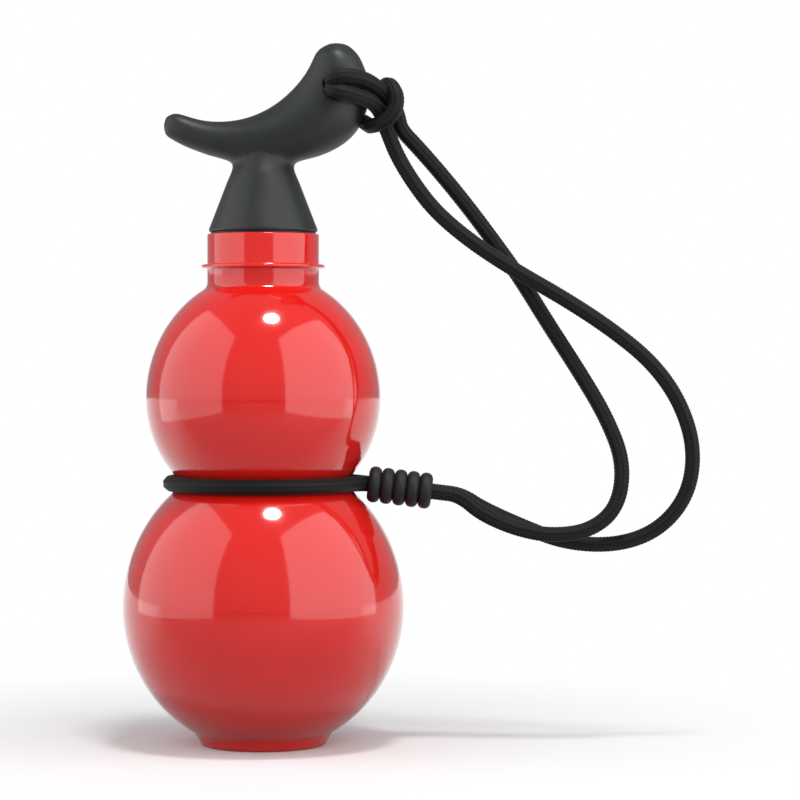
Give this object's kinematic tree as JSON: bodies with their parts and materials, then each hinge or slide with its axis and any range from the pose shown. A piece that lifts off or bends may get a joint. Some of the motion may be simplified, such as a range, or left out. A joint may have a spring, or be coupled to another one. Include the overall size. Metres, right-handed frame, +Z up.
{
  "type": "gourd water bottle",
  "caption": "Gourd-shaped drinking bottle with a push-in bird stopper on a braided carrying cord that loops the waist through a sliding ribbed bead.",
  "frame": {"origin": "middle of the foot, on the surface the bottle stands on", "axes": "+Z up the bottle's axis, +X from the axis towards the bird's head and the sliding bead"},
  "size_m": [0.1989, 0.0966, 0.241],
  "materials": {
    "bottle_red": "blow-moulded tinted plastic, glossy",
    "stopper_black": "satin moulded plastic",
    "seal_rubber": "moulded silicone",
    "bead_rubber": "matte moulded rubber",
    "cord_braid": "round braided polyester"
  },
  "bodies": {
    "bottle": {"bottle": "bottle_red", "cord_waist_noose": "cord_braid", "cord_outer_strand": "cord_braid", "cord_inner_strand": "cord_braid"},
    "gasket": {"rim_gasket": "seal_rubber"},
    "stopper": {"stopper_handle": "stopper_black", "stopper_plug": "stopper_black", "seal_ring_upper": "seal_rubber", "seal_ring_lower": "seal_rubber", "cord_knot": "cord_braid"},
    "bead": {"cord_bead": "bead_rubber"}
  },
  "joints": [
    {"name": "stopper_lift", "type": "slide", "parent": "bottle", "child": "gasket", "axis": [0, 0, 1], "range_m": [0, 0.03]},
    {"name": "stopper_turn", "type": "hinge", "parent": "gasket", "child": "stopper", "pos_m": [0, 0, 0.1754], "axis": [0, 0, 1], "range_deg": [-45, 45]},
    {"name": "bead_slide", "type": "slide", "parent": "bottle", "child": "bead", "axis": [0.9928, 0, -0.1201], "range_m": [0, 0.006]}
  ]
}
